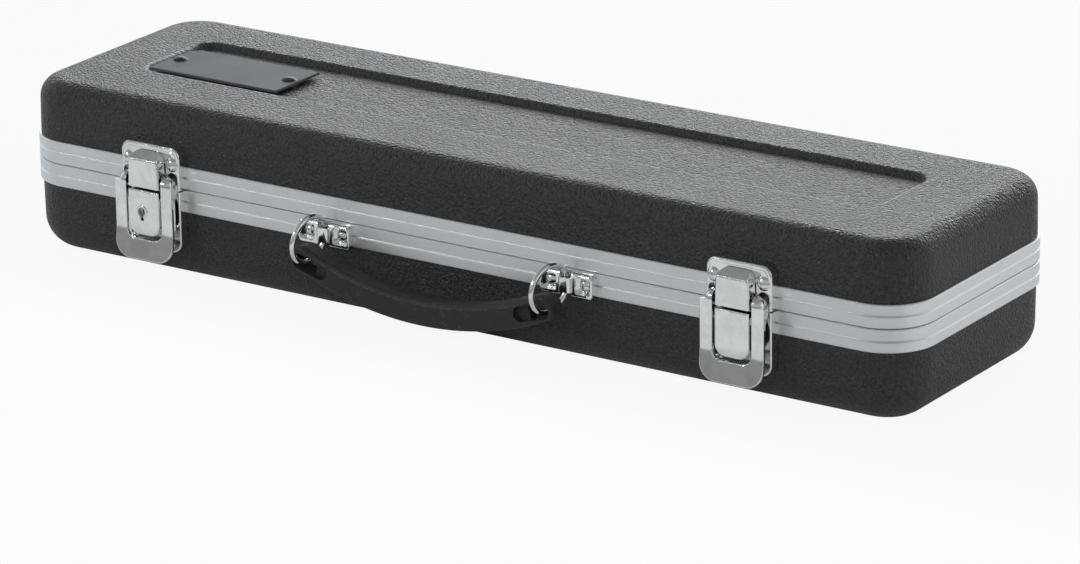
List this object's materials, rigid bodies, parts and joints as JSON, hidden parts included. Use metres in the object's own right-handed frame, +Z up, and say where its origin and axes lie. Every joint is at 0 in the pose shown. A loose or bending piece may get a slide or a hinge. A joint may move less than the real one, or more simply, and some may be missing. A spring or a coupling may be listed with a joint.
{
  "type": "flute case",
  "caption": "Hard-shell flute case with an aluminium valance, draw latches with a lock, a ring-hung carrying handle, rear hinges and a fitted interior.",
  "frame": {"origin": "centre of the base shell's flat underside", "axes": "+X along the case's length, towards the end away from the lock and the nameplate; -Y out of the front, where the latches and the handle are; +Z up, out of the lid"},
  "size_m": [0.44, 0.1499, 0.0775],
  "materials": {
    "moulded_shell": "pebble-grained black moulding",
    "valance": "satin extrusion",
    "plush": "short-pile plush over foam",
    "nameplate": "satin, blank",
    "black_rivet": "gloss black",
    "grip": "satin black moulding",
    "pin_steel": "plain pin",
    "bright_nickel": "polished nickel plate"
  },
  "bodies": {
    "base": {"base_hinge_rivets": "bright_nickel", "base_insert": "plush", "base_shell": "moulded_shell", "base_valance": "valance", "bracket_rivets": "bright_nickel", "catch_rivets": "bright_nickel", "left_base_hinge_leaf": "bright_nickel", "left_catch_plate": "bright_nickel", "left_handle_bracket": "bright_nickel", "left_hinge_pin": "pin_steel", "left_lever_pins": "pin_steel", "left_lock_cover": "bright_nickel", "right_base_hinge_leaf": "bright_nickel", "right_catch_plate": "bright_nickel", "right_handle_bracket": "bright_nickel", "right_hinge_pin": "pin_steel", "right_lever_pins": "pin_steel", "right_lock_cover": "bright_nickel"},
    "lid": {"keeper_rivets": "bright_nickel", "left_keeper_plate": "bright_nickel", "left_lid_hinge_leaf": "bright_nickel", "lid_hinge_rivets": "bright_nickel", "lid_pad": "plush", "lid_shell": "moulded_shell", "lid_valance": "valance", "nameplate": "nameplate", "nameplate_rivets": "black_rivet", "right_keeper_plate": "bright_nickel", "right_lid_hinge_leaf": "bright_nickel"},
    "left_lever": {"left_lever": "bright_nickel", "left_hasp_pin": "pin_steel"},
    "right_lever": {"right_lever": "bright_nickel", "right_hasp_pin": "pin_steel"},
    "left_hasp": {"left_hasp": "bright_nickel"},
    "right_hasp": {"right_hasp": "bright_nickel"},
    "lock_plug": {"lock_plug": "pin_steel"},
    "left_ring": {"left_handle_ring": "bright_nickel"},
    "right_ring": {"right_handle_ring": "bright_nickel"},
    "handle": {"handle_grip": "grip"}
  },
  "joints": [
    {"name": "lid_hinge", "type": "hinge", "parent": "base", "child": "lid", "pos_m": [0, 0.0635, 0.04133], "axis": [-1, 0, 0], "range_deg": [0, 100]},
    {"name": "left_lever_swing", "type": "hinge", "parent": "base", "child": "left_lever", "pos_m": [-0.1465, -0.0664, 0.0439], "axis": [-1, 0, 0], "range_deg": [0, 110]},
    {"name": "left_hasp_tip", "type": "hinge", "parent": "left_lever", "child": "left_hasp", "pos_m": [-0.1465, -0.0662, 0.0412], "axis": [-1, 0, 0], "range_deg": [-132, 0]},
    {"name": "right_lever_swing", "type": "hinge", "parent": "base", "child": "right_lever", "pos_m": [0.145, -0.0664, 0.0439], "axis": [-1, 0, 0], "range_deg": [0, 110]},
    {"name": "right_hasp_tip", "type": "hinge", "parent": "right_lever", "child": "right_hasp", "pos_m": [0.145, -0.0662, 0.0412], "axis": [-1, 0, 0], "range_deg": [-132, 0]},
    {"name": "lock_turn", "type": "hinge", "parent": "base", "child": "lock_plug", "pos_m": [-0.1473, -0.068, 0.0314], "axis": [0, 1, 0], "range_deg": [0, 180]},
    {"name": "handle_swing", "type": "hinge", "parent": "base", "child": "handle", "pos_m": [0.0002, -0.0731, 0.0358], "axis": [-1, 0, 0], "range_deg": [-8, 115]},
    {"name": "left_ring_swing", "type": "hinge", "parent": "base", "child": "left_ring", "pos_m": [-0.0571, -0.06315, 0.0357], "axis": [0, 0, 1], "range_deg": [-4, 6]},
    {"name": "right_ring_swing", "type": "hinge", "parent": "base", "child": "right_ring", "pos_m": [0.0629, -0.06315, 0.0355], "axis": [0, 0, 1], "range_deg": [-4, 6]}
  ],
  "couplings": [
    {"joint": "left_hasp_tip", "follows": "left_lever_swing", "ratio": -1.2},
    {"joint": "right_hasp_tip", "follows": "right_lever_swing", "ratio": -1.2}
  ]
}
